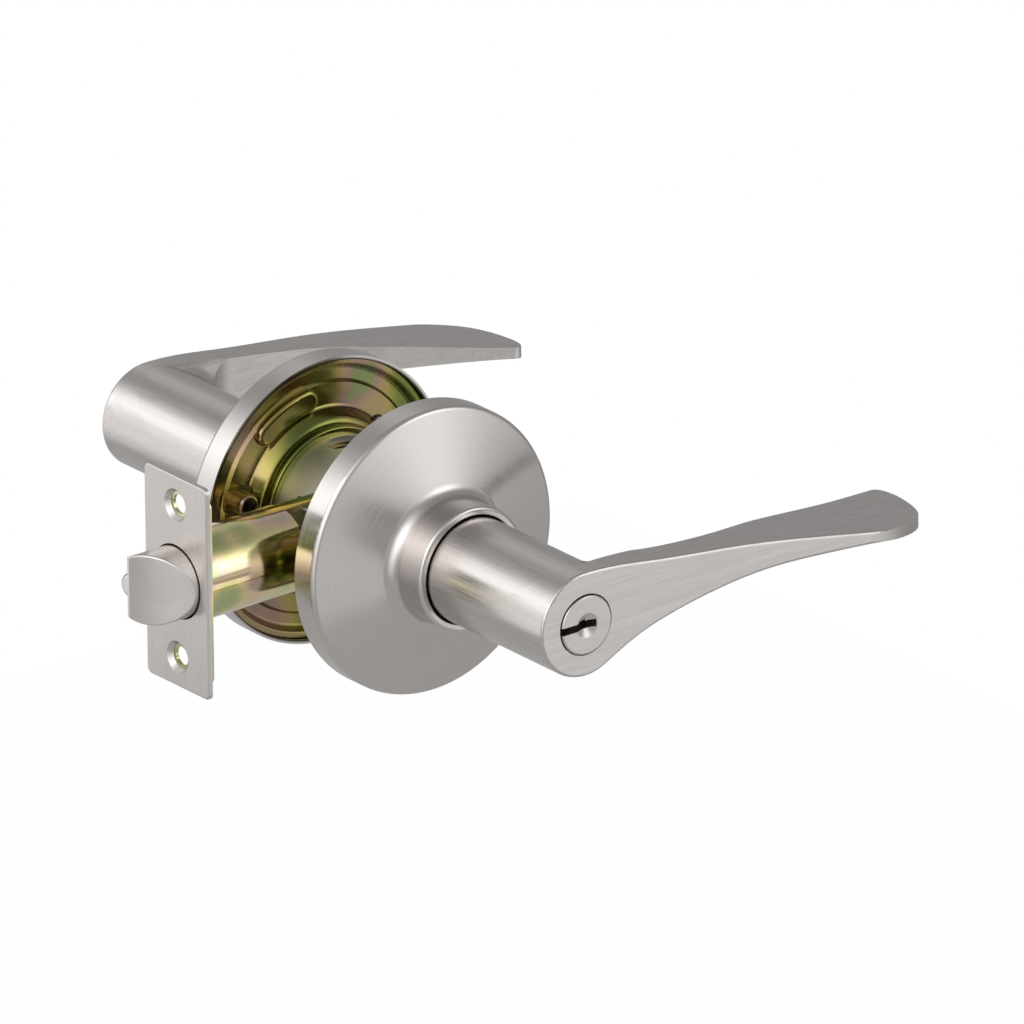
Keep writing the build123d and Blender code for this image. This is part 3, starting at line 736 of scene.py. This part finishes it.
@dataclass
class Chassis(SubAssembly):
    """The drum in the door's cross bore, its hubs, mounting plates, cams and retractor."""

    title: str = "chassis"
    # The plates' level of 0.74 darkens their colour as painted shade for the gap between the roses.
    plate: Finish = YellowZinc("yellow_zinc_plate", roughness=0.17, patch=52.0, level=0.74)
    drum: Finish = YellowZinc("yellow_zinc_drum", roughness=0.40, patch=36.0, bare=1.0)

    def finishes(self) -> dict[str, Finish]:
        """The finish of each piece of the chassis.

        Returns:
            Finishes by node name, the drum first.
        """
        return {
            "chassis_shell": self.drum,
            "outside_hub": self.plate,
            "inside_hub": self.plate,
            "outside_mounting_plate": self.plate,
            "inside_mounting_plate": self.plate,
            "plate_stud": self.plate,
            "outside_lock_nut": self.plate,
            "outside_drive_plate": self.plate,
            "inside_drive_plate": self.plate,
            "clamp_posts": self.plate,
            "clamp_screws": BRIGHT_ZINC,
            "outside_spindle": BRIGHT_ZINC,
            "inside_spindle": BRIGHT_ZINC,
            "outside_cam": BRIGHT_ZINC,
            "inside_cam": BRIGHT_ZINC,
            "retractor": BRIGHT_ZINC,
            "outside_return_spring": SPRING_STEEL,
            "inside_return_spring": SPRING_STEEL,
            "retractor_springs": SPRING_STEEL,
        }


@dataclass
class Latch(SubAssembly):
    """The tubular latch: face plate, tube, bolt and the small plunger beside the bolt."""

    title: str = "latch"
    face: Finish = BrushedMetal("satin_face_plate", STEEL, Brush.UPRIGHT, roughness=0.30, contrast=0.06)
    bolt: Finish = PlainMetal(
        "satin_bolt", (0.70, 0.665, 0.645), (0.655, 0.62, 0.60), roughness=0.24, patch=160.0, pitted=0.04
    )
    # The tube's level of 1.7 lightens its colour as painted light for its bright reflections.
    tube: Finish = YellowZinc("yellow_zinc_tube", roughness=0.12, patch=75.0, bare=0.35, level=1.7)

    def finishes(self) -> dict[str, Finish]:
        """The finish of each piece of the latch.

        Returns:
            Finishes by node name, from the face plate to the springs.
        """
        return {
            "face_plate": self.face,
            "back_plate": self.tube,
            "latch_tube": self.tube,
            "tube_guide": BRIGHT_ZINC,
            "latch_bolt": self.bolt,
            "bolt_tail": BRIGHT_ZINC,
            "deadlatch_plunger": self.bolt,
            "bolt_spring": SPRING_STEEL,
            "plunger_spring": SPRING_STEEL,
        }


@dataclass
class LeverSet(SubAssembly):
    """Both levers with their roses, catches and the turn button."""

    title: str = "levers"
    rose: Finish = BrushedMetal(
        "satin_rose", NICKEL, Brush.ROUND_SPINDLE, roughness=0.19, fineness=1.2, contrast=0.045,
        # The roses' inside walls get painted shade.
        anisotropy=0.4, band_share=0.15, inside=ShadedInside(),
    )
    lever: Finish = BrushedMetal("satin_lever", NICKEL, Brush.LEVER, roughness=0.22, contrast=0.13)
    button: Finish = BrushedMetal("satin_button", NICKEL, Brush.UPRIGHT, roughness=0.28, contrast=0.08)

    def finishes(self) -> dict[str, Finish]:
        """The finish of each lever's pieces.

        Returns:
            Finishes by node name, the satin pieces first.
        """
        return {
            "outside_rose": self.rose,
            "inside_rose": self.rose,
            "outside_lever": self.lever,
            "inside_lever": self.lever,
            "turn_button": self.button,
            "button_shaft": BRIGHT_ZINC,
            "outside_catch": BRIGHT_ZINC,
            "inside_catch": BRIGHT_ZINC,
            "outside_catch_spring": SPRING_STEEL,
            "inside_catch_spring": SPRING_STEEL,
        }


@dataclass
class KeyCylinder(SubAssembly):
    """The pin cylinder in the outside lever with its plug, pins and tailpiece."""

    title: str = "key cylinder"
    plug: Finish = BrushedMetal("satin_plug", NICKEL, Brush.ALONG_LATCH, roughness=0.27, contrast=0.08)

    def finishes(self) -> dict[str, Finish]:
        """The finish of each piece of the cylinder.

        Returns:
            Finishes by node name, the plug first.
        """
        return {
            "key_plug": self.plug,
            "cylinder_body": TURNED_BRASS,
            "pin_cover": BRIGHT_ZINC,
            "plug_clip": BRIGHT_ZINC,
            "tailpiece": BRIGHT_ZINC,
            "key_pins": TURNED_BRASS,
            "driver_pins": TURNED_BRASS,
            "pin_springs": SPRING_STEEL,
        }


@dataclass(frozen=True)
class PressedSpring:
    """A spring that shortens towards its fixed far end as a joint moves; the travel is in metres."""

    node: str
    body: str
    joint: str
    axis: Axis
    travel: float


@dataclass(frozen=True)
class WoundSpring:
    """A spring round the spindle, with one end turned by a lever and the other held by the chassis."""

    node: str
    lever: str


@dataclass
class Springs(SubAssembly):
    """The springs that a joint presses or winds, whose joined copies take the place of their solids."""

    title: str = "springs"
    merge_gap: float = 0.000001
    pressed: tuple[PressedSpring, ...] = (
        PressedSpring("bolt_spring", "chassis", "bolt_slide", Axis.X, 0.012),
        PressedSpring("plunger_spring", "chassis", "plunger_slide", Axis.X, 0.011),
        PressedSpring("retractor_springs", "chassis", "retractor_slide", Axis.X, 0.012),
        PressedSpring("outside_catch_spring", "outside_handle", "outside_catch_press", Axis.Z, 0.0022),
        PressedSpring("inside_catch_spring", "inside_handle", "inside_catch_press", Axis.Z, 0.0022),
    )
    wound: tuple[WoundSpring, ...] = (
        WoundSpring("outside_return_spring", "outside_handle"),
        WoundSpring("inside_return_spring", "inside_handle"),
    )

    def build(self, wardrobe: Wardrobe) -> None:
        """Copy each spring as a joined mesh; hang each pressed copy on its body and bake each wound copy in
        place.

        Args:
            wardrobe: The store of finished materials.
        """
        for pressed in self.pressed:
            self.press(pressed, self.copied(pressed.node, wardrobe))
        for wound in self.wound:
            self.wind(wound, self.copied(wound.node, wardrobe))

    def press(self, spring: PressedSpring, coil: bpy.types.Object) -> None:
        """Hang a coil's copy on the body that holds the spring, with a mesh of its own.

        Args:
            spring: Where the spring sits and the body that holds it.
            coil: The copy that stands for the spring.
        """
        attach(coil, spring.body)
        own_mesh(coil)

    def wind(self, spring: WoundSpring, coil: bpy.types.Object) -> None:
        """Bake a coil's copy in place and log the lever that turns its outer end.

        Args:
            spring: The spring and the lever that turns its outer end.
            coil: The copy that stands for the spring.
        """
        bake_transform(coil)
        LOG.info("%s: %s winds with %s", self.title, spring.node, spring.lever)

    def copied(self, node: str, wardrobe: Wardrobe) -> bpy.types.Object:
        """Copy a spring's solid as a joined mesh that stands for it.

        Args:
            node: The spring's node name.
            wardrobe: The store of finished materials.

        Returns:
            The copy, at the origin.
        """
        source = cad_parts[node]
        mesh = source.data.copy()
        mesh.transform(source.matrix_world)
        shape = bmesh.new()
        shape.from_mesh(mesh)
        bmesh.ops.remove_doubles(shape, verts=shape.verts, dist=self.merge_gap)
        shape.to_mesh(mesh)
        shape.free()
        mesh.shade_smooth()
        self.dress(mesh, wardrobe.get(SPRING_STEEL))
        coil = bpy.data.objects.new(node + "_wire", mesh)
        bpy.context.scene.collection.objects.link(coil)
        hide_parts(node)
        return coil


@dataclass(frozen=True)
class SoftLight:
    """A wide soft light that glows from one direction around the lock, given in degrees."""

    name: str
    azimuth: float
    elevation: float
    sharpness: float
    strength: float

    def direction(self) -> Point:
        """The unit vector from the lock towards the light.

        Returns:
            The direction in the lock's frame; azimuth 0 is the key side and 90 the blades' side.
        """
        turn, lift = math.radians(self.azimuth), math.radians(self.elevation)
        flat = math.cos(lift)
        return (math.sin(turn) * flat, -math.cos(turn) * flat, math.sin(lift))


@dataclass
class Studio:
    """The pale floor, with its sizes in metres, and the soft lights around the lock."""

    floor_level: float = -0.17
    floor_half: float = 0.3
    floor_grey: float = 0.66
    floor_whiteness: float = 0.99
    ambient: float = 0.24
    mirrored_white: float = 0.15
    mirrored_floor: float = 0.05
    lights: tuple[SoftLight, ...] = (
        SoftLight("back_left_box", -143.0, 23.0, 19.0, 1.5),
        SoftLight("back_left_low", -140.0, -14.0, 11.0, 0.85),
        SoftLight("left_high_box", -92.0, 36.0, 11.0, 1.4),
        SoftLight("front_left_box", -55.0, 28.0, 9.0, 1.6),
        SoftLight("front_left_low", -55.0, -4.0, 8.0, 0.6),
        SoftLight("front_right_low", 30.0, -18.0, 9.0, 0.64),
        SoftLight("front_right_strip", 32.0, -1.0, 30.0, 0.4),
        SoftLight("front_right_box", 38.0, 26.0, 20.0, 2.0),
        SoftLight("back_right_fill", 152.0, 36.0, 28.0, 0.3),
    )

    def build(self) -> None:
        """Set up the floor and the lights."""
        self.add_floor()
        self.add_world()

    @staticmethod
    def seen_white(tree: Tree, mirrored: float) -> Socket:
        """How white a ray sees what it meets: fully from the camera and partly in reflections.

        Args:
            tree: The tree helper of the floor or the world.
            mirrored: The share in reflections.

        Returns:
            The share's socket.
        """
        rays = tree.add("LightPath")
        bounced = tree.math("MAXIMUM", rays.outputs["Is Glossy Ray"], rays.outputs["Is Transmission Ray"])
        return tree.math("MAXIMUM", rays.outputs["Is Camera Ray"], tree.math("MULTIPLY", bounced, mirrored))

    def add_floor(self) -> None:
        """Lay a pale floor below the lock."""
        mesh = bpy.data.meshes.new("floor")
        shape = bmesh.new()
        bmesh.ops.create_grid(shape, x_segments=1, y_segments=1, size=self.floor_half)
        bmesh.ops.translate(shape, verts=shape.verts, vec=(0.0, 0.0, self.floor_level))
        shape.to_mesh(mesh)
        shape.free()
        mesh.materials.append(self.floor_material())
        floor = bpy.data.objects.new("floor", mesh)
        bpy.context.scene.collection.objects.link(floor)
        LOG.info("floor at %.3f m", self.floor_level)

    def floor_material(self) -> bpy.types.Material:
        """Make the floor's matt grey, which looks white to the camera.

        Returns:
            The floor's material.
        """
        material = bpy.data.materials.new("pale_floor")
        material.use_nodes = True
        material.node_tree.nodes.clear()
        tree = Tree(material.node_tree.nodes, material.node_tree.links)
        matt = tree.add("BsdfDiffuse")
        matt.inputs["Color"].default_value = (self.floor_grey, self.floor_grey, self.floor_grey, 1.0)
        white = tree.add("Emission")
        white.inputs["Color"].default_value = WHITE
        blend = tree.add("MixShader")
        seen = self.seen_white(tree, self.mirrored_floor)
        tree.join(tree.math("MULTIPLY", seen, self.floor_whiteness), blend.inputs[0])
        tree.join(matt.outputs[0], blend.inputs[1])
        tree.join(white.outputs[0], blend.inputs[2])
        output = tree.add("OutputMaterial")
        tree.join(blend.outputs[0], output.inputs["Surface"])
        return material

    def add_world(self) -> None:
        """Surround the lock with soft lights on a grey that looks white to the camera."""
        world = bpy.data.worlds.new("studio")
        bpy.context.scene.world = world
        world.use_nodes = True
        world.node_tree.nodes.clear()
        tree = Tree(world.node_tree.nodes, world.node_tree.links)
        ahead = tree.add("TexCoord").outputs["Generated"]
        level: float | Socket = self.ambient
        for light in self.lights:
            facing = tree.add("VectorMath", operation="DOT_PRODUCT")
            tree.join(ahead, facing.inputs[0])
            facing.inputs[1].default_value = light.direction()
            fall = tree.math("MULTIPLY_ADD", facing.outputs["Value"], light.sharpness, -light.sharpness)
            level = tree.math("MULTIPLY_ADD", tree.math("EXPONENT", fall), light.strength, level)
            LOG.info("soft light %s of strength %.2f", light.name, light.strength)
        glow = tree.add("Background")
        tree.join(level, glow.inputs["Strength"])
        white = tree.add("Background")
        for node in (glow, white):
            node.inputs["Color"].default_value = WHITE
        blend = tree.add("MixShader")
        tree.join(self.seen_white(tree, self.mirrored_white), blend.inputs[0])
        tree.join(glow.outputs[0], blend.inputs[1])
        tree.join(white.outputs[0], blend.inputs[2])
        output = tree.add("OutputWorld")
        tree.join(blend.outputs[0], output.inputs["Surface"])


@dataclass
class Camera:
    """A long lens, placed in degrees and metres, that looks down from the key side and the latch end."""

    azimuth: float = -37.886
    elevation: float = 22.588
    roll: float = -0.708
    distance: float = 8.0
    pixels_per_mm: float = 3.975
    origin_pixel: tuple[float, float] = (370.36, 521.0)
    image: int = 1024
    sensor: float = 36.0
    farthest: float = 100.0

    def build(self) -> None:
        """Place the camera and make it the scene's own."""
        turn, lift, roll = (math.radians(v) for v in (self.azimuth, self.elevation, self.roll))
        flat = math.cos(lift)
        back = Vector((math.sin(turn) * flat, -math.cos(turn) * flat, math.sin(lift)))
        right = Vector((math.cos(turn), math.sin(turn), 0.0))
        up = back.cross(right)
        cosine, sine = math.cos(roll), math.sin(roll)
        right, up = cosine * right + sine * up, cosine * up - sine * right
        scale = MM / self.pixels_per_mm
        across = (self.image / 2 - self.origin_pixel[0]) * scale
        rise = (self.origin_pixel[1] - self.image / 2) * scale
        lens = bpy.data.cameras.new("photo_view")
        lens.sensor_fit = "HORIZONTAL"
        lens.sensor_width = self.sensor
        lens.lens = self.sensor * self.pixels_per_mm / MM * self.distance / self.image
        lens.clip_end = self.farthest
        view = bpy.data.objects.new("photo_view", lens)
        facing = Matrix((right, up, back)).transposed().to_4x4()
        view.matrix_world = Matrix.Translation(back * self.distance + right * across + up * rise) @ facing
        bpy.context.scene.collection.objects.link(view)
        bpy.context.scene.camera = view
        LOG.info("camera %.2f m away, lens %.0f mm", self.distance, lens.lens)


def main() -> None:
    """Dress the lock's groups, light them and set the view."""
    logging.basicConfig(level=logging.INFO, format="%(name)s %(message)s")
    bpy.context.scene.view_settings.view_transform = "Standard"
    wardrobe = Wardrobe()
    for assembly in (Chassis(), Latch(), LeverSet(), KeyCylinder(), Springs()):
        assembly.build(wardrobe)
    Studio().build()
    Camera().build()


if __name__ == "__main__":
    main()
